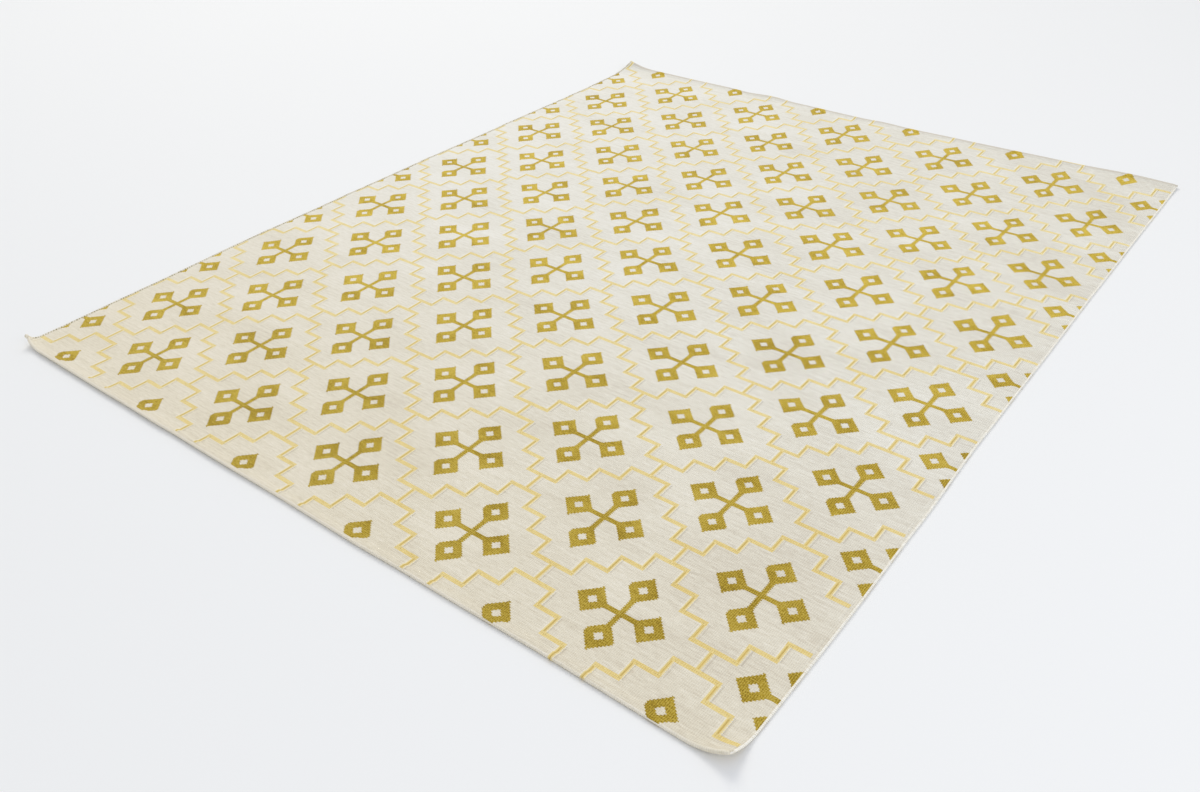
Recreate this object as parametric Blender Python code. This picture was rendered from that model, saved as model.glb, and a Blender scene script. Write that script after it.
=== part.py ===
"""Flatweave rug of 2.5 by 3 metres, lying on a floor with its corners and hems a little lifted.

The rug is one woven sheet. X runs across it, from selvedge to selvedge, Y runs along the
warp, from end hem to end hem, and Z is up. Its underside lies on the floor at z = 0.
The sheet is worked out flat first, as distances across and along the loom, and each point
is then laid where it lies on the floor, with the weaver's drift and the turned-up corners.
"""
import math

import bmesh
import bpy
from mathutils import Vector

# Driving dimensions, in metres
WIDTH = 2.50
LENGTH = 3.00
CLOTH_HEIGHT = 0.0055
HEM_HEIGHT = 0.0090
HEM_DEPTH = 0.0160
CORD_HEIGHT = 0.0075
CORD_DEPTH = 0.0075
STEP_DOWN = 0.0060

# How far from a hem its lift dies away, and the spacing of the sheet's faces in its middle
LIFT_REACH = 0.13
MIDDLE_STEP_ACROSS = 0.09
MIDDLE_STEP_ALONG = 0.20

# Distances from an edge at which the faces divide: the round edge, the step, the curl
CORD_LINES = (0.0, 0.0006, 0.0018, 0.0038, 0.0075, 0.0135)
HEM_LINES = (0.0, 0.0007, 0.0022, 0.0045, 0.0160, 0.0220)
CURL_LINES = (0.030, 0.040, 0.052, 0.068, 0.088, 0.112, 0.140, 0.170)

# The selvedges aren't dead straight: along is the distance from the near hem, and left and
# right are how far each selvedge lies towards +X of its straight line
SIDE_DRIFT = (
    {"along": 0.00, "left": 0.002, "right": 0.003},
    {"along": 0.42, "left": -0.003, "right": 0.005},
    {"along": 0.80, "left": -0.011, "right": 0.000},
    {"along": 1.19, "left": -0.006, "right": -0.010},
    {"along": 1.58, "left": -0.001, "right": -0.013},
    {"along": 2.10, "left": 0.011, "right": -0.019},
    {"along": 2.61, "left": 0.017, "right": -0.022},
    {"along": 3.00, "left": 0.018, "right": -0.024},
)

# The same for the two hems: across is the distance from the left selvedge, near and far are
# how far each hem lies towards +Y, and the lifts are how high it stands off the floor
HEM_DRIFT = (
    {"across": 0.00, "near": -0.024, "far": 0.005, "near_lift": 0.004, "far_lift": 0.004},
    {"across": 0.12, "near": -0.024, "far": 0.003, "near_lift": 0.007, "far_lift": 0.006},
    {"across": 0.42, "near": -0.023, "far": 0.001, "near_lift": 0.006, "far_lift": 0.004},
    {"across": 0.58, "near": -0.021, "far": -0.002, "near_lift": 0.006, "far_lift": 0.005},
    {"across": 0.67, "near": -0.021, "far": -0.003, "near_lift": 0.006, "far_lift": 0.002},
    {"across": 0.80, "near": -0.018, "far": 0.000, "near_lift": 0.005, "far_lift": 0.007},
    {"across": 0.93, "near": -0.018, "far": -0.005, "near_lift": 0.005, "far_lift": 0.002},
    {"across": 1.25, "near": -0.013, "far": -0.010, "near_lift": 0.003, "far_lift": 0.001},
    {"across": 1.34, "near": -0.013, "far": -0.010, "near_lift": 0.003, "far_lift": 0.004},
    {"across": 1.47, "near": -0.013, "far": -0.010, "near_lift": 0.003, "far_lift": 0.001},
    {"across": 1.68, "near": -0.008, "far": -0.008, "near_lift": 0.002, "far_lift": 0.002},
    {"across": 2.11, "near": -0.002, "far": -0.001, "near_lift": 0.002, "far_lift": 0.003},
    {"across": 2.36, "near": -0.002, "far": 0.003, "near_lift": 0.002, "far_lift": 0.008},
    {"across": 2.50, "near": -0.002, "far": 0.005, "near_lift": 0.002, "far_lift": 0.004},
)

# Three corners turn up about a fold line, which crosses the hem at across from the corner and
# the selvedge at along from it, and the cloth beyond the line bends to the radius
CORNERS = (
    {"side": -1, "end": -1, "across": 0.090, "along": 0.055, "radius": 0.034},
    {"side": 1, "end": -1, "across": 0.108, "along": 0.108, "radius": 0.085},
    {"side": -1, "end": 1, "across": 0.150, "along": 0.160, "radius": 0.200},
)

WOOL_CREAM = (0.72, 0.68, 0.59, 1.0)
WOOL_ROUGHNESS = 0.95
SMALL_STEP = 0.0002
ON_FLOOR = 1e-9


def smooth_step(share):
    """Ease from 0 to 1 with no kink at either end."""
    share = min(max(share, 0.0), 1.0)
    return share * share * (3.0 - 2.0 * share)


def read_table(table, key, column, place):
    """Ease between the rows of a short table."""
    if place <= table[0][key]:
        return table[0][column]
    for before, after in zip(table, table[1:]):
        if place <= after[key]:
            share = (place - before[key]) / (after[key] - before[key])
            return before[column] + (after[column] - before[column]) * smooth_step(share)
    return table[-1][column]


def edge_height(distance, height, depth):
    """Height of a hem or a cord over its own depth, stepping down to the plain cloth."""
    fall = smooth_step((distance - depth) / STEP_DOWN)
    return height + (CLOTH_HEIGHT - height) * fall


def edge_roundness(distance, height):
    """1 in the sheet, falling to 0 along a quarter circle at its edge."""
    radius = height / 2
    if distance >= radius:
        return 1.0
    return math.sqrt(1.0 - (1.0 - distance / radius) ** 2)


def section(across, along):
    """Underside and top of the sheet, as heights above its own underside."""
    from_side = min(across, WIDTH - across)
    from_end = min(along, LENGTH - along)
    cord = edge_height(from_side, CORD_HEIGHT, CORD_DEPTH)
    hem = edge_height(from_end, HEM_HEIGHT, HEM_DEPTH)
    full = max(cord, hem)
    roundness = edge_roundness(from_side, CORD_HEIGHT) * edge_roundness(from_end, HEM_HEIGHT)
    return full * (1.0 - roundness) / 2, full * (1.0 + roundness) / 2


def hem_lift(across, along):
    """How high the underside stands off the floor beside the two hems."""
    near = read_table(HEM_DRIFT, "across", "near_lift", across)
    far = read_table(HEM_DRIFT, "across", "far_lift", across)
    near_share = max(0.0, 1.0 - along / LIFT_REACH)
    far_share = max(0.0, 1.0 - (LENGTH - along) / LIFT_REACH)
    return near * near_share ** 2 + far * far_share ** 2


def turn_up_corner(point, corner, across, along):
    """Bend the cloth beyond a corner's fold line up to the corner's radius."""
    from_side = across if corner["side"] < 0 else WIDTH - across
    from_end = along if corner["end"] < 0 else LENGTH - along
    slope = math.hypot(1.0 / corner["across"], 1.0 / corner["along"])
    beyond = (1.0 - from_side / corner["across"] - from_end / corner["along"]) / slope
    if beyond <= 0.0:
        return
    radius = corner["radius"]
    angle = beyond / radius
    drawn_in = beyond - radius * math.sin(angle)
    point.x -= corner["side"] / corner["across"] / slope * drawn_in
    point.y -= corner["end"] / corner["along"] / slope * drawn_in
    point.z += radius * (1.0 - math.cos(angle))


def laid(across, along):
    """Where a point of the sheet's underside lies."""
    left = read_table(SIDE_DRIFT, "along", "left", along)
    right = read_table(SIDE_DRIFT, "along", "right", along)
    near = read_table(HEM_DRIFT, "across", "near", across)
    far = read_table(HEM_DRIFT, "across", "far", across)
    point = Vector((
        across - WIDTH / 2 + left + (right - left) * across / WIDTH,
        along - LENGTH / 2 + near + (far - near) * along / LENGTH,
        hem_lift(across, along),
    ))
    for corner in CORNERS:
        turn_up_corner(point, corner, across, along)
    return point


def up_from(across, along):
    """Direction straight through the cloth."""
    low_across = min(max(across, SMALL_STEP), WIDTH - SMALL_STEP)
    low_along = min(max(along, SMALL_STEP), LENGTH - SMALL_STEP)
    to_right = laid(low_across + SMALL_STEP, low_along) - laid(low_across - SMALL_STEP, low_along)
    to_far = laid(low_across, low_along + SMALL_STEP) - laid(low_across, low_along - SMALL_STEP)
    return to_right.cross(to_far).normalized()


def face_lines(edge_lines, size, middle_step):
    """Distances across a side of the sheet at which its faces divide."""
    first = list(edge_lines) + list(CURL_LINES)
    gap = size - 2 * first[-1]
    count = math.ceil(gap / middle_step)
    middle = [first[-1] + gap * index / count for index in range(1, count)]
    return first + middle + [size - line for line in reversed(first)]


def build_sheet(name):
    """Top and underside of the sheet, which share the points of its edge."""
    columns = face_lines(CORD_LINES, WIDTH, MIDDLE_STEP_ACROSS)
    rows = face_lines(HEM_LINES, LENGTH, MIDDLE_STEP_ALONG)
    mesh = bmesh.new()
    top, under = {}, {}
    for i, across in enumerate(columns):
        for j, along in enumerate(rows):
            ground, up = laid(across, along), up_from(across, along)
            low, high = section(across, along)
            at_edge = i in (0, len(columns) - 1) or j in (0, len(rows) - 1)
            under[i, j] = mesh.verts.new(ground + up * low)
            top[i, j] = under[i, j] if at_edge else mesh.verts.new(ground + up * high)
    for i in range(len(columns) - 1):
        for j in range(len(rows) - 1):
            corners = ((i, j), (i + 1, j), (i + 1, j + 1), (i, j + 1))
            mesh.faces.new([top[corner] for corner in corners])
            mesh.faces.new([under[corner] for corner in reversed(corners)])
    merge_flat_underside(mesh)
    data = bpy.data.meshes.new(name)
    mesh.to_mesh(data)
    mesh.free()
    return data


def merge_flat_underside(mesh):
    """Make one face of the underside where it lies flat on the floor."""
    flat = [face for face in mesh.faces if all(abs(vert.co.z) < ON_FLOOR for vert in face.verts)]
    bmesh.ops.dissolve_faces(mesh, faces=flat, use_verts=False)


def wool_cream():
    """Undyed wool, matt."""
    material = bpy.data.materials.new("wool_cream")
    material.use_nodes = True
    shader = material.node_tree.nodes["Principled BSDF"]
    shader.inputs["Base Color"].default_value = WOOL_CREAM
    shader.inputs["Roughness"].default_value = WOOL_ROUGHNESS
    shader.inputs["Metallic"].default_value = 0.0
    return material


def set_over_origin(data):
    """Put the origin under the middle of the rug's box, at the floor."""
    for axis in (0, 1):
        places = [vert.co[axis] for vert in data.vertices]
        middle = (min(places) + max(places)) / 2
        for vert in data.vertices:
            vert.co[axis] -= middle


def build_rug():
    for old in list(bpy.data.objects):
        bpy.data.objects.remove(old, do_unlink=True)
    rug = bpy.data.collections.new("flatweave_rug")
    bpy.context.scene.collection.children.link(rug)
    data = build_sheet("rug_sheet")
    set_over_origin(data)
    data.materials.append(wool_cream())
    data.shade_smooth()
    sheet = bpy.data.objects.new("rug_sheet", data)
    rug.objects.link(sheet)


build_rug()
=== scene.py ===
import math

import bpy
import numpy as np
from mathutils import Matrix, Vector, noise


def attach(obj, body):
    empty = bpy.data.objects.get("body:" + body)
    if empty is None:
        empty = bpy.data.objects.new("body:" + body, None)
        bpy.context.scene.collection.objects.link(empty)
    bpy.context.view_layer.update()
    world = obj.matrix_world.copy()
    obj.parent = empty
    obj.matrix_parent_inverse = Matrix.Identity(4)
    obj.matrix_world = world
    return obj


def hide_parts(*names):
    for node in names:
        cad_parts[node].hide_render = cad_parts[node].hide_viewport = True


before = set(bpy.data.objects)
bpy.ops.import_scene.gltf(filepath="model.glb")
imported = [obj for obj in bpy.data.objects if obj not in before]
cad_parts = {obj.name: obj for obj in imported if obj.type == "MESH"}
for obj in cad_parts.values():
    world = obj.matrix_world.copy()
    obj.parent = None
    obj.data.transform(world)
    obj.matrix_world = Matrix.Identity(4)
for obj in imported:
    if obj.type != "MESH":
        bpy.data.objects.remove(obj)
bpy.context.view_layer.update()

# The room: a plain pale floor under a large soft window light from the far left, with bounced
# daylight all round. The camera stands at the near right of the rug, at a person's eye height.
FLOOR_REACH = 30.0
FLOOR_PAINT = "#f1f0ec"
FLOOR_ROUGHNESS = 0.6
FLOOR_SPECULAR = 0.05
DAYLIGHT = "#f1f5ff"
DAYLIGHT_STRENGTH = 0.76
LAMPS = (
    {"name": "far_window", "at": (-10.8, 8.9, 11.8), "aim": (-1.0, 0.5, 0.0),
     "wide": 10.5, "high": 7.9, "spread": 76.0, "watts": 290.0, "tint": "#fffcf4"},
    {"name": "right_bounce", "at": (6.4, -1.4, 3.4), "aim": (0.0, 0.0, 0.0),
     "wide": 3.6, "high": 2.6, "spread": 180.0, "watts": 92.0, "tint": "#eff4ff"},
)
CAMERA_AT = Vector((1.8475, -2.5223, 1.6722))
CAMERA_FORWARD = Vector((-0.5218, 0.6272, -0.5782))
CAMERA_RIGHT = Vector((0.7839, 0.6199, -0.0350))
PHOTO_WIDTH = 1200
FOCAL_LENGTH_PIXELS = 1063
SENSOR_WIDTH = 36.0


def linear(paint):
    """Turn an sRGB hex colour to the linear colour that a socket holds."""
    parts = [int(paint[place:place + 2], 16) / 255 for place in (1, 3, 5)]
    parts = [part / 12.92 if part <= 0.04045 else ((part + 0.055) / 1.055) ** 2.4 for part in parts]
    return (*parts, 1.0)


def add(tree, kind, feeds, out=0, **settings):
    """Add a node with its settings. Its feeds are links or plain values, in order or by socket."""
    made = tree.nodes.new("ShaderNode" + kind)
    for setting, value in settings.items():
        setattr(made, setting, value)
    for socket, value in (feeds.items() if isinstance(feeds, dict) else enumerate(feeds)):
        if isinstance(value, bpy.types.NodeSocket):
            tree.links.new(value, made.inputs[socket])
        else:
            made.inputs[socket].default_value = value
    return made.outputs[out] if made.outputs else made


def new_material(name):
    """An empty material, and its tree."""
    material = bpy.data.materials.new(name)
    material.use_nodes = True
    material.node_tree.nodes.clear()
    return material, material.node_tree


def painted_floor():
    """White floor paint, rolled on and worn matt, which throws the daylight back up."""
    material, tree = new_material("white_floor_paint")
    paint = add(tree, "BsdfPrincipled", {
        "Base Color": linear(FLOOR_PAINT),
        "Roughness": FLOOR_ROUGHNESS,
        "Specular IOR Level": FLOOR_SPECULAR,
    })
    add(tree, "OutputMaterial", {"Surface": paint})
    return material


def lay_floor():
    corners = [(-FLOOR_REACH, -FLOOR_REACH, 0.0), (FLOOR_REACH, -FLOOR_REACH, 0.0),
               (FLOOR_REACH, FLOOR_REACH, 0.0), (-FLOOR_REACH, FLOOR_REACH, 0.0)]
    data = bpy.data.meshes.new("floor")
    data.from_pydata(corners, [], [(0, 1, 2, 3)])
    data.materials.append(painted_floor())
    floor = bpy.data.objects.new("floor", data)
    bpy.context.scene.collection.objects.link(floor)


def hang_lamp(row):
    data = bpy.data.lights.new(row["name"], "AREA")
    data.shape = "RECTANGLE"
    data.size = row["wide"]
    data.size_y = row["high"]
    data.energy = row["watts"]
    data.color = linear(row["tint"])[:3]
    data.spread = math.radians(row["spread"])
    lamp = bpy.data.objects.new(row["name"], data)
    lamp.location = row["at"]
    lamp.rotation_euler = (Vector(row["aim"]) - lamp.location).to_track_quat("-Z", "Y").to_euler()
    bpy.context.scene.collection.objects.link(lamp)


def let_daylight_in():
    world = bpy.data.worlds.new("daylight")
    world.use_nodes = True
    world.node_tree.nodes.clear()
    tree = world.node_tree
    sky = add(tree, "Background", {"Color": linear(DAYLIGHT), "Strength": DAYLIGHT_STRENGTH})
    add(tree, "OutputWorld", {"Surface": sky})
    bpy.context.scene.world = world


def stand_camera():
    data = bpy.data.cameras.new("camera")
    data.sensor_fit = "HORIZONTAL"
    data.sensor_width = SENSOR_WIDTH
    data.lens = SENSOR_WIDTH * FOCAL_LENGTH_PIXELS / PHOTO_WIDTH
    camera = bpy.data.objects.new("camera", data)
    forward = CAMERA_FORWARD.normalized()
    right = (CAMERA_RIGHT - CAMERA_RIGHT.dot(forward) * forward).normalized()
    turn = Matrix((right, right.cross(forward), -forward)).transposed()
    camera.matrix_world = Matrix.Translation(CAMERA_AT) @ turn.to_4x4()
    bpy.context.scene.collection.objects.link(camera)
    bpy.context.scene.camera = camera


lay_floor()
for lamp_row in LAMPS:
    hang_lamp(lamp_row)
let_daylight_in()
stand_camera()
bpy.context.scene.view_settings.view_transform = "Standard"


# The rug sheet: one panel of flatweave, wool wefts beaten down over cotton warps on a loom 2.5 m
# wide. Its two ends are turned under and sewn as hems, and its outer warps are bundled as cords.
# It is thinner at the selvedges, where the cords' turns stand over it.
WIDTH = 2.50
LENGTH = 3.00
CLOTH_HEIGHT = 0.0055
HEM_HEIGHT = 0.0090
HEM_DEPTH = 0.0160
CORD_DEPTH = 0.0075
SELVEDGE_HEIGHT = 0.0044
STEP_DOWN = 0.0060
LIFT_REACH = 0.13
CORD_LINES = (0.0, 0.0006, 0.0018, 0.0038, 0.0075, 0.0135)
HEM_LINES = (0.0, 0.0007, 0.0022, 0.0045, 0.0085, 0.0125, 0.0160, 0.0220)
CURL_END = 0.180
CURL_STEP = 0.0095
MIDDLE_STEP = 0.0150
SMALL_STEP = 0.0002

# One repeat of the chart, the chart's place at the middle of the rug, and how many times the drift
# along the rug is worked out, since it is known by the woven row and not by the seen one
REPEAT = 0.2155
MIDDLE_COLUMN = -4.0
MIDDLE_ROW = 6.135
DRIFT_PASSES = 3

# How far each selvedge lies towards +X of its straight line, along from the near hem
SIDE_DRIFT = (
    {"along": 0.00, "left": 0.002, "right": 0.003},
    {"along": 0.42, "left": -0.003, "right": 0.005},
    {"along": 0.80, "left": -0.011, "right": 0.000},
    {"along": 1.19, "left": -0.006, "right": -0.010},
    {"along": 1.58, "left": -0.001, "right": -0.013},
    {"along": 2.10, "left": 0.011, "right": -0.019},
    {"along": 2.61, "left": 0.023, "right": -0.022},
    {"along": 3.00, "left": 0.018, "right": -0.024},
)

# How far each hem lies towards +Y and how high it stands, across from the left selvedge
HEM_DRIFT = (
    {"across": 0.00, "near": -0.024, "far": 0.005, "near_lift": 0.004, "far_lift": 0.004},
    {"across": 0.12, "near": -0.024, "far": 0.003, "near_lift": 0.007, "far_lift": 0.006},
    {"across": 0.42, "near": -0.023, "far": 0.001, "near_lift": 0.006, "far_lift": 0.004},
    {"across": 0.58, "near": -0.021, "far": -0.002, "near_lift": 0.006, "far_lift": 0.005},
    {"across": 0.67, "near": -0.021, "far": -0.003, "near_lift": 0.006, "far_lift": 0.002},
    {"across": 0.80, "near": -0.018, "far": 0.000, "near_lift": 0.005, "far_lift": 0.007},
    {"across": 0.93, "near": -0.018, "far": -0.005, "near_lift": 0.005, "far_lift": 0.002},
    {"across": 1.25, "near": -0.013, "far": -0.010, "near_lift": 0.003, "far_lift": 0.001},
    {"across": 1.34, "near": -0.013, "far": -0.010, "near_lift": 0.003, "far_lift": 0.004},
    {"across": 1.47, "near": -0.013, "far": -0.010, "near_lift": 0.003, "far_lift": 0.001},
    {"across": 1.68, "near": -0.008, "far": -0.008, "near_lift": 0.002, "far_lift": 0.002},
    {"across": 2.11, "near": -0.002, "far": -0.001, "near_lift": 0.002, "far_lift": 0.003},
    {"across": 2.36, "near": -0.002, "far": 0.003, "near_lift": 0.002, "far_lift": 0.008},
    {"across": 2.50, "near": -0.002, "far": 0.005, "near_lift": 0.002, "far_lift": 0.004},
)

# The three turned-up corners: where each fold line crosses the hem and the selvedge
CORNERS = (
    {"side": -1, "end": -1, "across": 0.090, "along": 0.055, "radius": 0.034},
    {"side": 1, "end": -1, "across": 0.108, "along": 0.108, "radius": 0.085},
    {"side": -1, "end": 1, "across": 0.150, "along": 0.160, "radius": 0.200},
)

# Low ripples that run across the cloth: the middle of each, its half length, height and slant
RIPPLES = (
    {"across": 2.11, "along": 2.46, "half": 0.24, "height": 0.0018, "slant": 0.02},
    {"across": 2.21, "along": 2.04, "half": 0.12, "height": 0.0018, "slant": 0.00},
    {"across": 2.20, "along": 1.71, "half": 0.14, "height": 0.0020, "slant": 0.12},
    {"across": 2.13, "along": 1.525, "half": 0.26, "height": 0.0018, "slant": -0.02},
    {"across": 1.66, "along": 1.525, "half": 0.14, "height": 0.0014, "slant": 0.03},
    {"across": 1.72, "along": 1.245, "half": 0.13, "height": 0.0014, "slant": -0.04},
    {"across": 2.09, "along": 1.04, "half": 0.16, "height": 0.0026, "slant": 0.03},
    {"across": 2.11, "along": 0.77, "half": 0.23, "height": 0.0018, "slant": -0.02},
    {"across": 0.09, "along": 2.55, "half": 0.10, "height": 0.0014, "slant": 0.05},
    {"across": 0.10, "along": 2.12, "half": 0.12, "height": 0.0014, "slant": -0.03},
    {"across": 0.08, "along": 1.665, "half": 0.10, "height": 0.0016, "slant": 0.02},
    {"across": 0.11, "along": 1.28, "half": 0.13, "height": 0.0016, "slant": 0.04},
    {"across": 0.09, "along": 0.89, "half": 0.11, "height": 0.0016, "slant": -0.02},
)
RIPPLE_WIDTH = 0.026
UNEVEN_HEIGHT = 0.0005
UNEVEN_SIZE = 0.16

# How far the woven pattern has drifted from an even chart, in repeats: across by row at each side,
# with what is added in the middle, across by column, and along by row at each side
ACROSS_DRIFT = (
    {"row": -0.5, "left": 0.055, "middle": -0.010, "right": -0.015},
    {"row": 1.5, "left": 0.030, "middle": -0.005, "right": -0.035},
    {"row": 2.5, "left": 0.020, "middle": -0.005, "right": -0.040},
    {"row": 3.5, "left": 0.000, "middle": 0.000, "right": -0.055},
    {"row": 4.5, "left": 0.015, "middle": 0.000, "right": -0.060},
    {"row": 6.5, "left": 0.050, "middle": 0.000, "right": -0.065},
    {"row": 8.5, "left": 0.100, "middle": 0.010, "right": -0.090},
    {"row": 10.0, "left": 0.130, "middle": 0.025, "right": -0.100},
    {"row": 12.0, "left": 0.185, "middle": 0.045, "right": -0.130},
    {"row": 12.6, "left": 0.160, "middle": 0.045, "right": -0.130},
)
COLUMN_DRIFT = (
    {"column": -9.0, "drift": 0.000},
    {"column": -7.0, "drift": 0.000},
    {"column": -5.5, "drift": -0.005},
    {"column": -4.0, "drift": -0.035},
    {"column": -2.5, "drift": 0.012},
    {"column": -1.0, "drift": 0.042},
    {"column": 0.0, "drift": 0.035},
    {"column": 1.0, "drift": 0.022},
)
ALONG_DRIFT = (
    {"row": -0.695, "left": -0.065, "right": 0.000},
    {"row": 0.0, "left": -0.025, "right": 0.015},
    {"row": 1.0, "left": -0.013, "right": 0.038},
    {"row": 2.0, "left": -0.035, "right": 0.032},
    {"row": 3.0, "left": -0.015, "right": 0.025},
    {"row": 4.0, "left": 0.025, "right": -0.015},
    {"row": 5.0, "left": 0.040, "right": -0.040},
    {"row": 6.0, "left": 0.045, "right": -0.025},
    {"row": 7.0, "left": 0.010, "right": -0.045},
    {"row": 8.0, "left": 0.025, "right": 0.020},
    {"row": 9.0, "left": 0.075, "right": -0.090},
    {"row": 11.0, "left": 0.115, "right": -0.095},
    {"row": 12.0, "left": 0.230, "right": 0.030},
    {"row": 12.695, "left": 0.245, "right": 0.185},
    {"row": 12.900, "left": 0.270, "right": 0.235},
)


def smooth_step(share):
    """Ease from 0 to 1 with no kink at either end."""
    share = np.clip(share, 0.0, 1.0)
    return share * share * (3.0 - 2.0 * share)


def eased(table, key, column, place):
    """Ease between the rows of a short table."""
    rows = np.array([row[key] for row in table])
    values = np.array([row[column] for row in table])
    before = np.clip(np.searchsorted(rows, place, side="right") - 1, 0, len(rows) - 2)
    share = smooth_step((place - rows[before]) / (rows[before + 1] - rows[before]))
    return values[before] + (values[before + 1] - values[before]) * share


def edge_height(distance, height, depth):
    """Height of a hem or a cord over its own depth, stepping down to the plain cloth."""
    return height + (CLOTH_HEIGHT - height) * smooth_step((distance - depth) / STEP_DOWN)


def edge_roundness(distance, height):
    """1 in the sheet, falling to 0 along a quarter circle at its edge."""
    return np.sqrt(1.0 - (1.0 - np.minimum(distance / (height / 2), 1.0)) ** 2)


def section(across, along):
    """Underside and top of the sheet, as heights above its own underside."""
    from_side = np.minimum(across, WIDTH - across)
    from_end = np.minimum(along, LENGTH - along)
    selvedge = edge_height(from_side, SELVEDGE_HEIGHT, CORD_DEPTH)
    hem = edge_height(from_end, HEM_HEIGHT, HEM_DEPTH)
    full = selvedge + hem - CLOTH_HEIGHT
    roundness = edge_roundness(from_side, SELVEDGE_HEIGHT) * edge_roundness(from_end, HEM_HEIGHT)
    return full * (1.0 - roundness) / 2, full * (1.0 + roundness) / 2


def lies_flat(across, along):
    """Where a point of the underside lies in plan, with the drift of the four edges."""
    left = eased(SIDE_DRIFT, "along", "left", along)
    right = eased(SIDE_DRIFT, "along", "right", along)
    near = eased(HEM_DRIFT, "across", "near", across)
    far = eased(HEM_DRIFT, "across", "far", across)
    x = across - WIDTH / 2 + left + (right - left) * across / WIDTH
    y = along - LENGTH / 2 + near + (far - near) * along / LENGTH
    return x, y


def hem_lift(across, along):
    """How high the underside stands off the floor beside the two hems."""
    near_share = np.maximum(0.0, 1.0 - along / LIFT_REACH)
    far_share = np.maximum(0.0, 1.0 - (LENGTH - along) / LIFT_REACH)
    near = eased(HEM_DRIFT, "across", "near_lift", across)
    far = eased(HEM_DRIFT, "across", "far_lift", across)
    return near * near_share ** 2 + far * far_share ** 2


def ripple_height(across, along):
    """Height of the low ripples, each of which dies away at its ends and sides."""
    total = np.zeros_like(across)
    for ripple in RIPPLES:
        aside = across - ripple["across"]
        beside = (along - ripple["along"] - ripple["slant"] * aside) / RIPPLE_WIDTH
        total += ripple["height"] * np.exp(-beside ** 2 - (aside / ripple["half"]) ** 4)
    return total


def laid(across, along):
    """Where each point of the sheet's underside lies, as rows of x, y and z."""
    x, y = lies_flat(across, along)
    z = hem_lift(across, along) + ripple_height(across, along)
    for corner in CORNERS:
        from_side = across if corner["side"] < 0 else WIDTH - across
        from_end = along if corner["end"] < 0 else LENGTH - along
        slope = math.hypot(1.0 / corner["across"], 1.0 / corner["along"])
        beyond = (1.0 - from_side / corner["across"] - from_end / corner["along"]) / slope
        angle = np.maximum(beyond, 0.0) / corner["radius"]
        drawn_in = corner["radius"] * (angle - np.sin(angle))
        x = x - corner["side"] / corner["across"] / slope * drawn_in
        y = y - corner["end"] / corner["along"] / slope * drawn_in
        z = z + corner["radius"] * (1.0 - np.cos(angle))
    return np.stack([x, y, z], axis=-1)


def directions(across, along):
    """Unit vectors across the cloth, along it and straight through it."""
    low_across = np.clip(across, SMALL_STEP, WIDTH - SMALL_STEP)
    low_along = np.clip(along, SMALL_STEP, LENGTH - SMALL_STEP)
    to_right = laid(low_across + SMALL_STEP, low_along) - laid(low_across - SMALL_STEP, low_along)
    to_far = laid(low_across, low_along + SMALL_STEP) - laid(low_across, low_along - SMALL_STEP)
    to_right /= np.linalg.norm(to_right, axis=-1, keepdims=True)
    to_far /= np.linalg.norm(to_far, axis=-1, keepdims=True)
    up = np.cross(to_right, to_far)
    return to_right, to_far, up / np.linalg.norm(up, axis=-1, keepdims=True)


def read_straight(table, key, column, place):
    """Go straight between the rows of a short table."""
    return np.interp(place, [row[key] for row in table], [row[column] for row in table])


def side_drift(table, row, share):
    """Drift at a row, by the share of the width that lies to the left of each point."""
    left = read_straight(table, "row", "left", row)
    right = read_straight(table, "row", "right", row)
    return left + (right - left) * share


def chart_place(across, along):
    """Column and row of the chart, in repeats, that is woven at each point."""
    x, y = lies_flat(across, along)
    column, seen_row = x / REPEAT + MIDDLE_COLUMN, y / REPEAT + MIDDLE_ROW
    share = across / WIDTH
    row = seen_row
    for _ in range(DRIFT_PASSES):
        row = seen_row - side_drift(ALONG_DRIFT, row, share)
    bulge = read_straight(ACROSS_DRIFT, "row", "middle", seen_row) * 4 * share * (1.0 - share)
    beside = read_straight(COLUMN_DRIFT, "column", "drift", column)
    return column - side_drift(ACROSS_DRIFT, seen_row, share) - beside - bulge, row


def face_lines(edge_lines, size):
    """Distances across a side of the sheet at which its faces divide."""
    curl = list(np.arange(edge_lines[-1] + CURL_STEP, CURL_END, CURL_STEP))
    first = list(edge_lines) + curl
    gap = size - 2 * first[-1]
    count = math.ceil(gap / MIDDLE_STEP)
    middle = [first[-1] + gap * index / count for index in range(1, count)]
    return np.array(first + middle + [size - line for line in reversed(first)])


def give_maps(data, maps):
    """Give a mesh its coordinates as rows of two numbers a point, one map for each name."""
    corners = np.zeros(len(data.loops), dtype=np.int32)
    data.loops.foreach_get("vertex_index", corners)
    for name, places in maps.items():
        layer = data.uv_layers.new(name=name)
        layer.uv.foreach_set("vector", places[corners].astype(np.float32).ravel())


def uneven(across, along):
    """The small lie of a heavy cloth that never quite settles."""
    places = zip(across.ravel() / UNEVEN_SIZE, along.ravel() / UNEVEN_SIZE)
    heights = [noise.noise(Vector((x, y, 0.0))) for x, y in places]
    return UNEVEN_HEIGHT * np.array(heights).reshape(across.shape)


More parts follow.
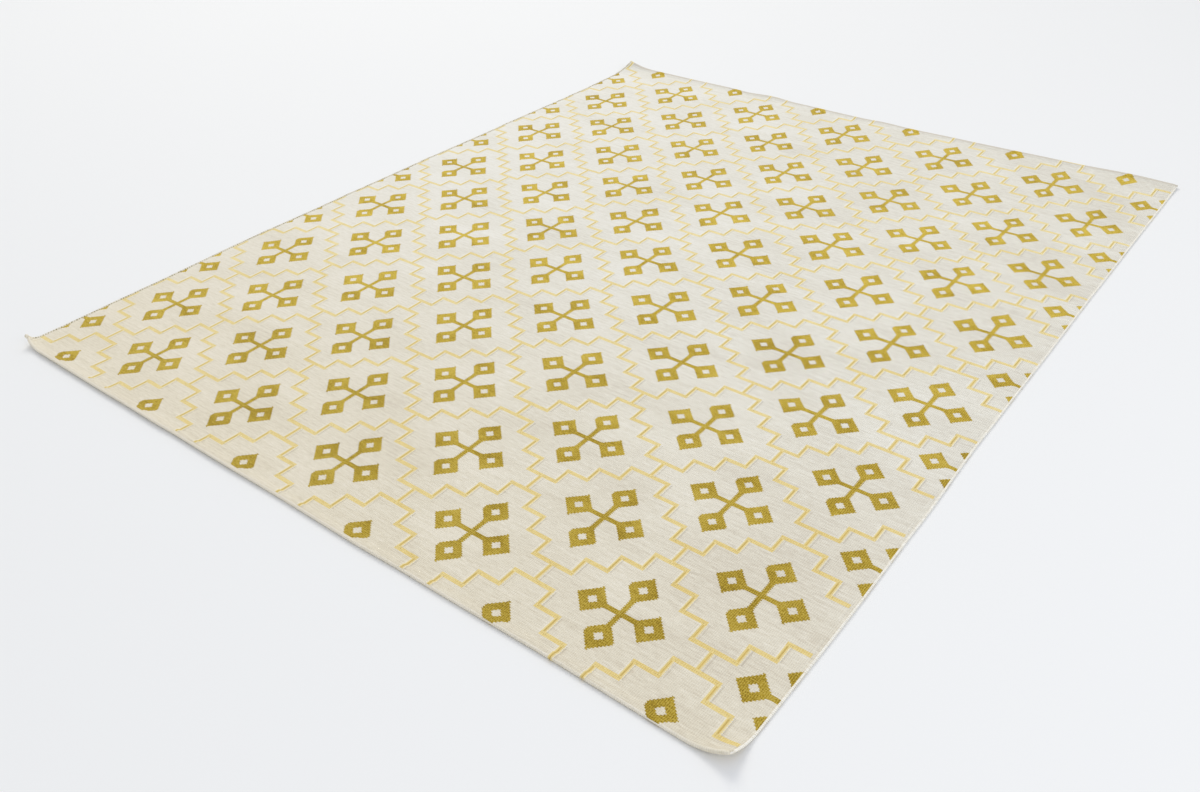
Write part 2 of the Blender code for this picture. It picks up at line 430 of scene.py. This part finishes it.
def weave_sheet():
    """Top and underside of the sheet, which share the points of its edge."""
    columns, rows = face_lines(CORD_LINES, WIDTH), face_lines(HEM_LINES, LENGTH)
    across, along = np.meshgrid(columns, rows, indexing="ij")
    ground = laid(across, along)
    up = directions(across, along)[2]
    low, high = section(across, along)
    inside = np.minimum(np.minimum(across, WIDTH - across), np.minimum(along, LENGTH - along))
    lie = uneven(across, along) * smooth_step((inside - HEM_DEPTH) / HEM_DEPTH)
    under = ground + up * low[..., None]
    top = ground + up * (high + lie)[..., None]
    count = len(columns) * len(rows)
    top_index = np.arange(count).reshape(across.shape)
    under_index = top_index + count
    edge = np.ones(across.shape, dtype=bool)
    edge[1:-1, 1:-1] = False
    under_index[edge] = top_index[edge]
    faces = []
    for index, order in ((top_index, (0, 1, 2, 3)), (under_index, (3, 2, 1, 0))):
        square = (index[:-1, :-1], index[1:, :-1], index[1:, 1:], index[:-1, 1:])
        faces.append(np.stack([square[place] for place in order], axis=-1).reshape(-1, 4))
    points = np.concatenate([top.reshape(-1, 3), under.reshape(-1, 3)])
    used, faces = np.unique(np.concatenate(faces), return_inverse=True)
    loom = np.stack([across, along], axis=-1).reshape(-1, 2)
    chart = np.stack(chart_place(across, along), axis=-1).reshape(-1, 2)
    data = bpy.data.meshes.new("woven_sheet")
    data.from_pydata(points[used].tolist(), [], faces.reshape(-1, 4).tolist())
    give_maps(data, {"chart": np.tile(chart, (2, 1))[used], "loom": np.tile(loom, (2, 1))[used]})
    data.shade_smooth()
    return data


def over_origin(data):
    """How far the sheet moves so that the middle of its box stands over the origin."""
    places = np.zeros(len(data.vertices) * 3)
    data.vertices.foreach_get("co", places)
    places = places.reshape(-1, 3)
    middle = (places.min(axis=0) + places.max(axis=0)) / 2
    return Vector((-middle[0], -middle[1], 0.0))


# The wool: hand-spun and vat-dyed, matt with short fuzz. Each weft covers the warps, so the face
# shows ribs along the rug, and where two colours meet they turn back and leave a comb edge.
# The comb is drawn at 5.7 mm and the ribs at 4.9 mm, a little coarser than the real 4.5 mm.
# Each wool's last tint is painted shade, multiplied in most at the near end
CREAM = {"dark": "#d6cebd", "middle": "#e9e4d4", "light": "#f5f1e6", "window_shade_tint": "#faf4e8"}
OLIVE = {"dark": "#a2862c", "middle": "#d1b23a", "light": "#e5ca5e", "window_shade_tint": "#dcdadb"}
YELLOW = {"dark": "#e6cf8c", "middle": "#f1dd9c", "light": "#f6e6b0", "window_shade_tint": "#f6f0de"}
DARK_AT, MIDDLE_SHADE, LIGHT_AT = 0.25, 0.50, 0.75
WARPS_PER_REPEAT = 44
PICK_PAIRS_PER_REPEAT = 38
HALF = 0.5

# How far the picks of a pair draw their colour out to the right and to the left, and the small
# wander of a hand-woven edge, in repeats
TOOTH = 0.013
BACK_TOOTH = 0.011
HAND_DRIFT = 0.006
HAND_SIZE = 1.7

# The chart, in repeats: the crosses' lozenges and arms, and the steps of the lattice
LOZENGE_HALF = 0.188
HOLE_HALF = 0.066
ALONG_LOZENGE_AT = 0.375
ACROSS_LOZENGE_AT = 0.350
BLUNT_MIDDLE = 0.008
BLUNT_HALF = 0.164
SPUR_HALF_WIDTH = 0.010
SPUR_MIDDLE = 0.175
SPUR_HALF_LENGTH = 0.023
ALONG_ARM_HALF = 0.0265
ACROSS_ARM_HALF = 0.031
ARM_FLARE_FROM = 0.15
ARM_FLARE = 1.3
ARM_END = 0.26
STEPS_ACROSS = (0.0, 0.2525, 0.5325, 0.803, 1.0)
STEPS_ALONG = (0.145, 0.383, 0.62, 0.855)
ALONG_LINE_HALF = 0.025
ACROSS_LINE_HALF = 0.0275
DOTS_AT = 0.028
DOTS_HALF = 0.008

# Where the weaver has set the outer columns and rows in from the chart, has moved the lozenges
# within some rows or woven the crosses wider, and where the pattern ends
RIGHT_COLUMN_FROM = 1.0
RIGHT_COLUMN_SHIFT = 0.12
LEFT_COLUMN_FROM = -9.0
LEFT_COLUMN_SHIFT = -0.07
SELVEDGE_COLUMNS = (-9.6, 1.6)
SELVEDGE_LOZENGE_SHIFT = -0.060
SELVEDGE_LOZENGE_NARROWING = 0.004
LOZENGE_ROWS = (-0.65, -0.19, 3.35, 3.81, 11.35, 11.81, 12.19, 12.65)
LOZENGE_ROW_SHIFTS = (0.0, -0.036, 0.0, -0.026, 0.0, -0.017, 0.0, 0.030, 0.0)
WIDER_FROM_ROW = 3.5
WIDER_BY = 0.019
NEAR_ROW_FROM = -0.3
NEAR_ROW_SHIFT = 0.07
FAR_ROW_FROM = 12.3
FAR_ROW_SHIFT = -0.07
FIELD_ENDS = (-0.825, 12.900)
YELLOW_RIGHT = 1.772
YELLOW_CORNER = {"column": -9.775, "row": -0.5}

# A yellow line along the rug is two ribs with a groove between, and the cream pulls into a second
# groove at its right: colour, with painted shade in its middle groove, and height by the distance
# to the right of its middle, in repeats
LINE_REACH = 0.07
LINE_COLOURS = (
    (-0.026, "#f8eecb"), (-0.016, "#f1e0a4"), (-0.004, "#e7cf88"), (0.003, "#cdae5b"),
    (0.010, "#ead697"), (0.026, "#f6eac4"),
)
LINE_RELIEF = (
    (-0.055, 0.50), (-0.034, 0.85), (-0.018, 1.00), (0.000, 0.45), (0.018, 1.00), (0.032, 0.85),
    (0.045, 0.25), (0.054, 0.05), (0.066, 0.50),
)
LINE_HEIGHT = 0.0020
LINE_COLOUR_SHARE = 0.90

# The unevenness of the yarn and of its dye: the size of each across and along, in repeats, and how
# much it lightens or darkens the ground and the motifs
UNEVENNESS = (
    {"name": "slubs", "across": 0.110, "along": 0.012, "ground": 0.40, "motif": 0.55},
    {"name": "specks", "across": 0.016, "along": 0.014, "ground": 0.22, "motif": 0.95},
    {"name": "streaks", "across": 0.70, "along": 0.030, "ground": 0.28, "motif": 0.00},
    {"name": "clouds", "across": 1.60, "along": 0.70, "ground": 0.26, "motif": 0.20},
    {"name": "skeins", "across": 0.50, "along": 0.32, "ground": 0.00, "motif": 0.45},
)
# Shares of painted shade in the grooves between warp ribs and of painted light on the ribs, and of
# painted shade and light at the yellow lines' grooves and ribs
RIB_PAINTED_SHADE_SHARE = {"ground": 0.30, "motif": 0.70}
GROOVE_PAINTED_SHADE_SHARE = {"ground": 0.34, "motif": 0.00}
NOISE_ROUGHNESS = 0.55
RIB_HEIGHT = 0.0016
GRAIN_HEIGHT = 0.0002

# Painted light: the colours are darkest at the near end and lighter towards the far end, and the
# motifs also towards the left, as painted window light and sheen from the far left. The share of
# the painted shade tint at row 0 and column 0, and how it grows with each row and column
PAINTED_WINDOW_SHADE = {
    "ground": {"start": 0.72, "row": -0.160, "column": -0.035},
    "motif": {"start": 1.00, "row": -0.120, "column": 0.064},
}

# The ground is also a little duller towards the right
DULLER_BY_COLUMN = -0.015
DULLER_AT_COLUMN_0 = -0.042

# The hems' folds are smoother, the near roll has a painted highlight and the far hem painted shade
ROLL_DEPTH = 0.0050
ROLL_PAINTED_HIGHLIGHT = 0.22
FAR_HEM_PAINTED_SHADE = -0.34
HEM_SMOOTHNESS = 0.10
WOOL_ROUGHNESS = 0.92
WOOL_SHEEN = 0.06
WOOL_SHEEN_ROUGHNESS = 0.40
WOOL_SPECULAR = 0.1


def stairs(tree, place, thresholds, values):
    """Step from value to value as the place passes each threshold."""
    total = values[0]
    for threshold, before, after in zip(thresholds, values, values[1:]):
        passed = add(tree, "Math", [place, threshold], operation="GREATER_THAN")
        total = add(tree, "Math", [passed, after - before, total], operation="MULTIPLY_ADD")
    return total


def union(tree, masks):
    """1 where any of the masks is 1."""
    total = masks[0]
    for mask in masks[1:]:
        total = add(tree, "Math", [total, mask], operation="MAXIMUM")
    return total


def distance(tree, value, middle):
    gap = add(tree, "Math", [value, middle], operation="SUBTRACT")
    return add(tree, "Math", [gap], operation="ABSOLUTE")


def turning_yarn(tree, column, row):
    """The column from which each pick's colour is drawn out as a tooth, and the picks that are."""
    pairs = add(tree, "Math", [row, PICK_PAIRS_PER_REPEAT], operation="MULTIPLY")
    part = add(tree, "Math", [pairs], operation="FRACT")
    second = add(tree, "Math", [part, HALF], operation="GREATER_THAN")
    reach = add(tree, "Math", [second, -TOOTH - BACK_TOOTH, BACK_TOOTH], operation="MULTIPLY_ADD")
    return add(tree, "Math", [column, reach], operation="ADD"), second


def lozenge(tree, across, along):
    """Mask of a lozenge with a hole and a thread-wide point at each end, about its middle."""
    out = add(tree, "Math", [across, along], operation="ADD")
    middle, half = (LOZENGE_HALF + HOLE_HALF) / 2, (LOZENGE_HALF - HOLE_HALF) / 2
    ring = add(tree, "Math", [out, middle, half], operation="COMPARE")
    narrow = add(tree, "Math", [across, SPUR_HALF_WIDTH], operation="LESS_THAN")
    beyond = add(tree, "Math", [along, SPUR_MIDDLE, SPUR_HALF_LENGTH], operation="COMPARE")
    spur = add(tree, "Math", [narrow, beyond], operation="MULTIPLY")
    return union(tree, [ring, spur])


def arms(tree, out, aside, half):
    """Mask of a pair of arms, which flare where they meet the lozenges."""
    past = add(tree, "Math", [out, ARM_FLARE_FROM], operation="SUBTRACT")
    past = add(tree, "Math", [past, 0.0], operation="MAXIMUM")
    flare = add(tree, "Math", [past, past], operation="MULTIPLY")
    edge = add(tree, "Math", [flare, ARM_FLARE, half], operation="MULTIPLY_ADD")
    narrow = add(tree, "Math", [aside, edge], operation="LESS_THAN")
    short = add(tree, "Math", [out, ARM_END], operation="LESS_THAN")
    return add(tree, "Math", [narrow, short], operation="MULTIPLY")


def nearest_cross(tree, column, row):
    """Columns from the middle of a point's own cross, and the row in that cross's count."""
    right = add(tree, "Math", [column, RIGHT_COLUMN_FROM], operation="GREATER_THAN")
    left = add(tree, "Math", [column, LEFT_COLUMN_FROM], operation="LESS_THAN")
    even_column = add(tree, "Math", [right, RIGHT_COLUMN_SHIFT, column], operation="MULTIPLY_ADD")
    shifted = [left, LEFT_COLUMN_SHIFT, even_column]
    even_column = add(tree, "Math", shifted, operation="MULTIPLY_ADD")
    odd_column = add(tree, "Math", [column, 1.0], operation="ADD")
    near = add(tree, "Math", [row, NEAR_ROW_FROM], operation="LESS_THAN")
    far = add(tree, "Math", [row, FAR_ROW_FROM], operation="GREATER_THAN")
    odd_shift = add(tree, "Math", [near, NEAR_ROW_SHIFT, 1.0], operation="MULTIPLY_ADD")
    odd_shift = add(tree, "Math", [far, FAR_ROW_SHIFT, odd_shift], operation="MULTIPLY_ADD")
    even_x = add(tree, "Math", [even_column, 1.0], operation="PINGPONG")
    even_y = add(tree, "Math", [row, 1.0], operation="PINGPONG")
    even_out = add(tree, "Math", [even_x, even_y], operation="ADD")
    even = add(tree, "Math", [even_out, 1.0], operation="LESS_THAN")
    own_column = add(tree, "Mix", {0: even, 2: odd_column, 3: even_column})
    from_middle = add(tree, "Math", [own_column, 1.0, -1.0], operation="WRAP")
    odd_row = add(tree, "Math", [row, odd_shift], operation="ADD")
    own_row = add(tree, "Mix", {0: even, 2: odd_row, 3: row})
    moved = stairs(tree, own_row, LOZENGE_ROWS, LOZENGE_ROW_SHIFTS)
    return from_middle, add(tree, "Math", [own_row, moved], operation="ADD")


def along_lozenges(tree, column, from_middle, x, y):
    """Mask of a cross's near and far lozenges, blunt at their sides but for the right column."""
    cut_left = add(tree, "Math", [column, SELVEDGE_COLUMNS[0]], operation="LESS_THAN")
    cut_right = add(tree, "Math", [column, SELVEDGE_COLUMNS[1]], operation="GREATER_THAN")
    cut = add(tree, "Math", [cut_left, cut_right], operation="ADD")
    reach = [cut, SELVEDGE_LOZENGE_SHIFT, ALONG_LOZENGE_AT]
    along_at = add(tree, "Math", reach, operation="MULTIPLY_ADD")
    narrowed = add(tree, "Math", [cut, SELVEDGE_LOZENGE_NARROWING, x], operation="MULTIPLY_ADD")
    whole = lozenge(tree, narrowed, distance(tree, y, along_at))
    blunt = add(tree, "Math", [from_middle, BLUNT_MIDDLE, BLUNT_HALF], operation="COMPARE")
    right = add(tree, "Math", [column, RIGHT_COLUMN_FROM], operation="GREATER_THAN")
    return add(tree, "Math", [whole, union(tree, [blunt, right])], operation="MULTIPLY")


def across_lozenges(tree, row, x, y):
    """Mask of a cross's left and right lozenges, which stand wider apart from some row on."""
    wide = add(tree, "Math", [row, WIDER_FROM_ROW], operation="GREATER_THAN")
    across_at = add(tree, "Math", [wide, WIDER_BY, ACROSS_LOZENGE_AT], operation="MULTIPLY_ADD")
    return lozenge(tree, distance(tree, x, across_at), y)


def crosses(tree, column, row):
    """Mask of the olive crosses, each of four lozenges on four arms."""
    from_middle, own_row = nearest_cross(tree, column, row)
    x = add(tree, "Math", [from_middle], operation="ABSOLUTE")
    y = add(tree, "Math", [own_row, 1.0], operation="PINGPONG")
    return union(tree, [
        along_lozenges(tree, column, from_middle, x, y),
        across_lozenges(tree, row, x, y),
        arms(tree, y, x, ALONG_ARM_HALF),
        arms(tree, x, y, ACROSS_ARM_HALF),
    ])


def stepped_lattice(tree, column, row, second):
    """Masks of the yellow lines along the rug and bands across it, and repeats from the lines."""
    odd_column = add(tree, "Math", [column, 1.0], operation="ADD")
    from_middle = add(tree, "Math", [odd_column, 1.0, -1.0], operation="WRAP")
    side = add(tree, "Math", [from_middle], operation="SIGN")
    x = add(tree, "Math", [from_middle], operation="ABSOLUTE")
    y = add(tree, "Math", [row, 1.0], operation="PINGPONG")
    line_at = stairs(tree, y, STEPS_ALONG, STEPS_ACROSS)
    from_line = add(tree, "Math", [x, line_at], operation="SUBTRACT")
    from_line = add(tree, "Math", [from_line, side], operation="MULTIPLY")
    line = add(tree, "Math", [from_line, 0.0, ALONG_LINE_HALF], operation="COMPARE")
    dots = add(tree, "Math", [from_line, DOTS_AT, DOTS_HALF], operation="COMPARE")
    dots = add(tree, "Math", [dots, second], operation="MULTIPLY")
    bands = []
    for overrun in (-ALONG_LINE_HALF, ALONG_LINE_HALF):
        moved = add(tree, "Math", [x, overrun], operation="ADD")
        band_at = stairs(tree, moved, STEPS_ACROSS[1:-1], STEPS_ALONG)
        bands.append(add(tree, "Math", [y, band_at, ACROSS_LINE_HALF], operation="COMPARE"))
    return union(tree, [line, dots]), union(tree, bands), from_line


def woven_chart(tree, column, row):
    """Masks of olive, of yellow, of its bands and of its field, and repeats from its lines."""
    drawn_out, second = turning_yarn(tree, column, row)
    past_near = add(tree, "Math", [row, FIELD_ENDS[0]], operation="GREATER_THAN")
    before_far = add(tree, "Math", [row, FIELD_ENDS[1]], operation="LESS_THAN")
    field = add(tree, "Math", [past_near, before_far], operation="MULTIPLY")
    olive = union(tree, [crosses(tree, place, row) for place in (column, drawn_out)])
    olive = add(tree, "Math", [olive, field], operation="MULTIPLY")
    line, band, from_line = stepped_lattice(tree, column, row, second)
    before_right = add(tree, "Math", [column, YELLOW_RIGHT], operation="LESS_THAN")
    past_corner = add(tree, "Math", [row, YELLOW_CORNER["row"]], operation="GREATER_THAN")
    beside_corner = add(tree, "Math", [column, YELLOW_CORNER["column"]], operation="GREATER_THAN")
    field = add(tree, "Math", [field, before_right], operation="MULTIPLY")
    off_corner = union(tree, [past_corner, beside_corner])
    line = add(tree, "Math", [line, off_corner], operation="MULTIPLY")
    yellow = add(tree, "Math", [union(tree, [line, band]), field], operation="MULTIPLY")
    return olive, yellow, band, field, from_line


def yarn_noise(tree, chart, across, along):
    """Noise about zero, of a size given in repeats."""
    sizes = (1.0 / across, 1.0 / along, 1.0)
    stretched = add(tree, "VectorMath", [chart, sizes], operation="MULTIPLY")
    feeds = {"Vector": stretched, "Scale": 1.0, "Detail": 1.0, "Roughness": NOISE_ROUGHNESS}
    shade = add(tree, "TexNoise", feeds, noise_dimensions="2D")
    return add(tree, "Math", [shade, HALF], operation="SUBTRACT")


def set_stops(ramp_colour, stops):
    """Set the places and colours of the ramp that a colour comes from."""
    elements = ramp_colour.node.color_ramp.elements
    elements[0].position, elements[1].position = stops[0][0], stops[-1][0]
    for place, _ in stops[1:-1]:
        elements.new(place)
    for element, (_, colour) in zip(elements, stops):
        element.color = colour
    return ramp_colour


def dyed(tree, shade, dye):
    """Colour of one dye lot, from its dark yarns to its light ones."""
    stops = ((DARK_AT, linear(dye["dark"])), (MIDDLE_SHADE, linear(dye["middle"])),
             (LIGHT_AT, linear(dye["light"])))
    return set_stops(add(tree, "ValToRGB", [shade]), stops)


def with_painted_window_shade(tree, colour, column, row, shade_shares, dye):
    """Colour of a dye lot under its painted shade tint by place: painted window light and sheen."""
    # The share of the painted shade tint: most at the near end, less towards the far end
    depth = add(tree, "Math", [row, shade_shares["row"], shade_shares["start"]], operation="MULTIPLY_ADD")
    by_column = [column, shade_shares["column"], depth]
    depth = add(tree, "Math", by_column, operation="MULTIPLY_ADD", use_clamp=True)
    feeds = {0: depth, 6: colour, 7: linear(dye["window_shade_tint"])}
    return add(tree, "Mix", feeds, out=2, data_type="RGBA", blend_type="MULTIPLY")


def line_profile(tree, from_line):
    """Colour of a yellow line across its two ribs, and the height of its ribs and grooves."""
    share = add(tree, "Math", [from_line, HALF / LINE_REACH, HALF], operation="MULTIPLY_ADD")
    colours = [(HALF + place * HALF / LINE_REACH, linear(paint)) for place, paint in LINE_COLOURS]
    heights = [(HALF + place * HALF / LINE_REACH, (high, high, high, 1.0))
               for place, high in LINE_RELIEF]
    # The line's colour holds painted shade in its middle groove
    line_colour = set_stops(add(tree, "ValToRGB", [share]), colours)
    relief = set_stops(add(tree, "ValToRGB", [share]), heights)
    return line_colour, add(tree, "Math", [relief, HALF], operation="SUBTRACT")


def hand_drifted(tree, chart):
    """Column and row of the chart, with the small wander of a hand-woven edge."""
    wander = add(tree, "TexNoise", {"Vector": chart, "Scale": HAND_SIZE, "Detail": 1.0}, out=1,
                 noise_dimensions="2D")
    wander = add(tree, "VectorMath", [wander, (HALF, HALF, HALF)], operation="SUBTRACT")
    drifted = add(tree, "VectorMath", {0: wander, 1: (HAND_DRIFT, HAND_DRIFT, 0.0), 2: chart},
                  operation="MULTIPLY_ADD")
    return add(tree, "SeparateXYZ", [drifted]), add(tree, "SeparateXYZ", [drifted], out=1)


def warp_ribs(tree, column):
    """Height of the rib over each warp, about zero."""
    warps = add(tree, "Math", [column, WARPS_PER_REPEAT], operation="MULTIPLY")
    from_warp = add(tree, "Math", [warps, HALF], operation="PINGPONG")
    return add(tree, "Math", [HALF / 2, from_warp], operation="SUBTRACT")


def uneven_shade(tree, wool, rib, relief, parts):
    """Shade of ground or motifs: painted shade in grooves and light on ribs, and uneven yarn."""
    shade = add(tree, "Math", [rib, RIB_PAINTED_SHADE_SHARE[wool], MIDDLE_SHADE], operation="MULTIPLY_ADD")
    shade = add(tree, "Math", [relief, GROOVE_PAINTED_SHADE_SHARE[wool], shade], operation="MULTIPLY_ADD")
    for part in UNEVENNESS:
        lighter = [parts[part["name"]], part[wool], shade]
        shade = add(tree, "Math", lighter, operation="MULTIPLY_ADD")
    return shade


def hem_masks(tree):
    """Masks of the near hem's roll, of the near hem and of the far one."""
    loom = add(tree, "UVMap", [], uv_map="loom")
    along = add(tree, "SeparateXYZ", [loom], out=1)
    roll = add(tree, "Math", [along, ROLL_DEPTH], operation="LESS_THAN")
    near_hem = add(tree, "Math", [along, HEM_DEPTH], operation="LESS_THAN")
    far_hem = add(tree, "Math", [along, LENGTH - HEM_DEPTH], operation="GREATER_THAN")
    return roll, near_hem, far_hem


def cream_ground(tree, column, row, shade, roll, far_hem):
    """Colour of the ground, with painted light and shade at its hems and by place."""
    # Painted highlight on the near hem's roll, painted shade along the far hem
    shade = add(tree, "Math", [roll, ROLL_PAINTED_HIGHLIGHT, shade], operation="MULTIPLY_ADD")
    shade = add(tree, "Math", [far_hem, FAR_HEM_PAINTED_SHADE, shade], operation="MULTIPLY_ADD")
    by_column = [column, DULLER_BY_COLUMN, DULLER_AT_COLUMN_0]
    duller = add(tree, "Math", by_column, operation="MULTIPLY_ADD")
    shade = add(tree, "Math", [shade, duller], operation="ADD")
    return with_painted_window_shade(tree, dyed(tree, shade, CREAM), column, row, PAINTED_WINDOW_SHADE["ground"], CREAM)


def yellow_lattice(tree, column, row, shade, line_colour, band):
    """Colour of the lattice: plain in its bands, and by its two ribs in its lines."""
    plain = dyed(tree, shade, YELLOW)
    lines = add(tree, "Mix", {0: LINE_COLOUR_SHARE, 6: plain, 7: line_colour}, out=2,
                data_type="RGBA")
    lattice = add(tree, "Mix", {0: band, 6: lines, 7: plain}, out=2, data_type="RGBA")
    return with_painted_window_shade(tree, lattice, column, row, PAINTED_WINDOW_SHADE["motif"], YELLOW)


def weave_height(tree, rib, relief, slubs, hem):
    """Height of the ribs, of the yarn's grain and of the yellow lines' grooves, in metres."""
    grain = add(tree, "Math", [slubs, GRAIN_HEIGHT], operation="MULTIPLY")
    height = add(tree, "Math", [rib, RIB_HEIGHT, grain], operation="MULTIPLY_ADD")
    rough_share = add(tree, "Math", [hem, -HEM_SMOOTHNESS, 1.0], operation="MULTIPLY_ADD")
    height = add(tree, "Math", [height, rough_share], operation="MULTIPLY")
    return add(tree, "Math", [relief, LINE_HEIGHT, height], operation="MULTIPLY_ADD")


def woven_wool():
    """Weft-faced wool in cream, olive and yellow, with its comb edges, ribs and uneven yarn."""
    material, tree = new_material("woven_wool")
    chart = add(tree, "UVMap", [], uv_map="chart")
    column, row = hand_drifted(tree, chart)
    olive, yellow, band, field, from_line = woven_chart(tree, column, row)
    line_colour, relief = line_profile(tree, from_line)
    relief = add(tree, "Math", [relief, field], operation="MULTIPLY")
    rib = warp_ribs(tree, column)
    parts = {part["name"]: yarn_noise(tree, chart, part["across"], part["along"])
             for part in UNEVENNESS}
    ground_shade = uneven_shade(tree, "ground", rib, relief, parts)
    motif_shade = uneven_shade(tree, "motif", rib, relief, parts)
    roll, near_hem, far_hem = hem_masks(tree)
    # The ground, lattice and motifs all get the painted shade tint by place
    ground = cream_ground(tree, column, row, ground_shade, roll, far_hem)
    lattice = yellow_lattice(tree, column, row, motif_shade, line_colour, band)
    motif = with_painted_window_shade(tree, dyed(tree, motif_shade, OLIVE), column, row, PAINTED_WINDOW_SHADE["motif"], OLIVE)
    colour = add(tree, "Mix", {0: yellow, 6: ground, 7: lattice}, out=2, data_type="RGBA")
    colour = add(tree, "Mix", {0: olive, 6: colour, 7: motif}, out=2, data_type="RGBA")
    hem = add(tree, "Math", [near_hem, far_hem], operation="ADD")
    height = weave_height(tree, rib, relief, parts["slubs"], hem)
    bump = add(tree, "Bump", {"Height": height, "Distance": 1.0, "Strength": 1.0})
    wool = add(tree, "BsdfPrincipled", {
        "Base Color": colour,
        "Roughness": WOOL_ROUGHNESS,
        "Specular IOR Level": WOOL_SPECULAR,
        "Sheen Weight": WOOL_SHEEN,
        "Sheen Roughness": WOOL_SHEEN_ROUGHNESS,
        "Normal": bump,
    })
    add(tree, "OutputMaterial", {"Surface": wool})
    return material


sheet_data = weave_sheet()
to_origin = over_origin(sheet_data)
sheet_data.transform(Matrix.Translation(to_origin))
sheet_data.materials.append(woven_wool())
woven_sheet = bpy.data.objects.new("woven_sheet", sheet_data)
bpy.context.scene.collection.objects.link(woven_sheet)
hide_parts("rug_sheet")
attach(woven_sheet, "root")


# The selvedges: the wefts turn back round a bundle of warps at each side, so the edge is a cord
# of tight slanting turns. Dark wool shows between the turns at the left, and the left cord's near
# end is knotted off just beyond the corner. The right cord is almost white.
RINGS_PER_TURN = 6
POINTS_ROUND = 10
TURN_RELIEF = 0.18
TURN_NARROWNESS = 3
TURN_SLANT = 0.8
CORD_IN_SHARE = 0.85
END_TAPER = 0.6
KNOT_AT = 0.001
KNOT_LENGTH = 0.007
TURN_SHARE = 1.4
TURN_MIDDLE = 0.30
CHANCE_SHARE = 0.30
KNOT_TURNS = 1.0
KNOT_SHADE = 0.25
SELVEDGES = (
    {"name": "left_selvedge", "side": -1, "radius": 0.0036, "pitch": 0.0085, "near_end": -0.0060,
     "knot": 0.75, "dark": "#7c7047", "middle": "#cdc3a2", "light": "#efe8d6"},
    {"name": "right_selvedge", "side": 1, "radius": 0.0029, "pitch": 0.0046, "near_end": 0.0045,
     "knot": 0.0, "dark": "#ddd2ba", "middle": "#efe8d5", "light": "#f9f5ea"},
)


def overcast_wool(row):
    """Wool weft pulled tight round the warps, with the darker wool between the turns."""
    material, tree = new_material(row["name"] + "_wool")
    loom = add(tree, "UVMap", [], uv_map="loom")
    turns = add(tree, "SeparateXYZ", [loom], out=1)
    whole = add(tree, "Math", [turns], operation="ROUND")
    chance = add(tree, "TexWhiteNoise", {"W": whole}, noise_dimensions="1D")
    spread = [chance, CHANCE_SHARE, TURN_MIDDLE - CHANCE_SHARE / 2]
    chance = add(tree, "Math", spread, operation="MULTIPLY_ADD")
    crest = add(tree, "Math", [turns, HALF], operation="PINGPONG")
    shade = add(tree, "Math", [crest, TURN_SHARE, chance], operation="MULTIPLY_ADD")
    knot = add(tree, "Math", [turns, KNOT_TURNS], operation="LESS_THAN")
    shade = add(tree, "Math", [knot, KNOT_SHADE, shade], operation="MULTIPLY_ADD")
    wool = add(tree, "BsdfPrincipled", {
        "Base Color": dyed(tree, shade, row),
        "Roughness": WOOL_ROUGHNESS,
        "Specular IOR Level": WOOL_SPECULAR,
        "Sheen Weight": WOOL_SHEEN,
        "Sheen Roughness": WOOL_SHEEN_ROUGHNESS,
    })
    add(tree, "OutputMaterial", {"Surface": wool})
    return material


def cord_radius(row, along, phase):
    """Radius of a cord: full on each turn, less between turns and at its ends, with its knot."""
    turns = 1.0 - TURN_RELIEF * np.abs(np.cos(math.pi * phase)) ** TURN_NARROWNESS
    taper = smooth_step(np.minimum(along - along[0], along[-1] - along) / row["radius"])
    knot = 1.0 + row["knot"] * np.exp(-((along - KNOT_AT) / KNOT_LENGTH) ** 2)
    return row["radius"] * turns * (knot * (1.0 - END_TAPER * (1.0 - taper)))[:, None]


def overcast_cord(row):
    """A closed cord of slanting turns along one selvedge."""
    far_end = LENGTH - HEM_HEIGHT / 2
    count = round((far_end - row["near_end"]) / row["pitch"]) * RINGS_PER_TURN
    along = np.linspace(row["near_end"], far_end, count)
    from_edge = row["radius"] * CORD_IN_SHARE
    across = np.full(count, from_edge if row["side"] < 0 else WIDTH - from_edge)
    to_right, _, up = directions(across, along)
    middle = laid(across, along) + up * row["radius"]
    angles = np.arange(POINTS_ROUND) * 2 * math.pi / POINTS_ROUND
    phase = along[:, None] / row["pitch"] + row["side"] * TURN_SLANT * angles / (2 * math.pi)
    radius = cord_radius(row, along, phase)
    points = (middle[:, None] + (radius * np.cos(angles))[..., None] * to_right[:, None]
              + (radius * np.sin(angles))[..., None] * up[:, None])
    index = np.arange(count * POINTS_ROUND).reshape(count, POINTS_ROUND)
    ahead, beside = index[1:], np.roll(index, -1, axis=1)
    faces = np.stack([index[:-1], beside[:-1], beside[1:], ahead], axis=-1).reshape(-1, 4).tolist()
    faces += [index[0, ::-1].tolist(), index[-1].tolist()]
    data = bpy.data.meshes.new(row["name"])
    data.from_pydata(points.reshape(-1, 3).tolist(), [], faces)
    loom = np.stack(np.broadcast_arrays(across[:, None], phase), axis=-1)
    give_maps(data, {"loom": loom.reshape(-1, 2)})
    data.transform(Matrix.Translation(to_origin))
    data.shade_smooth()
    data.materials.append(overcast_wool(row))
    cord = bpy.data.objects.new(row["name"], data)
    bpy.context.scene.collection.objects.link(cord)
    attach(cord, "root")
    return cord


cords = [overcast_cord(selvedge_row) for selvedge_row in SELVEDGES]
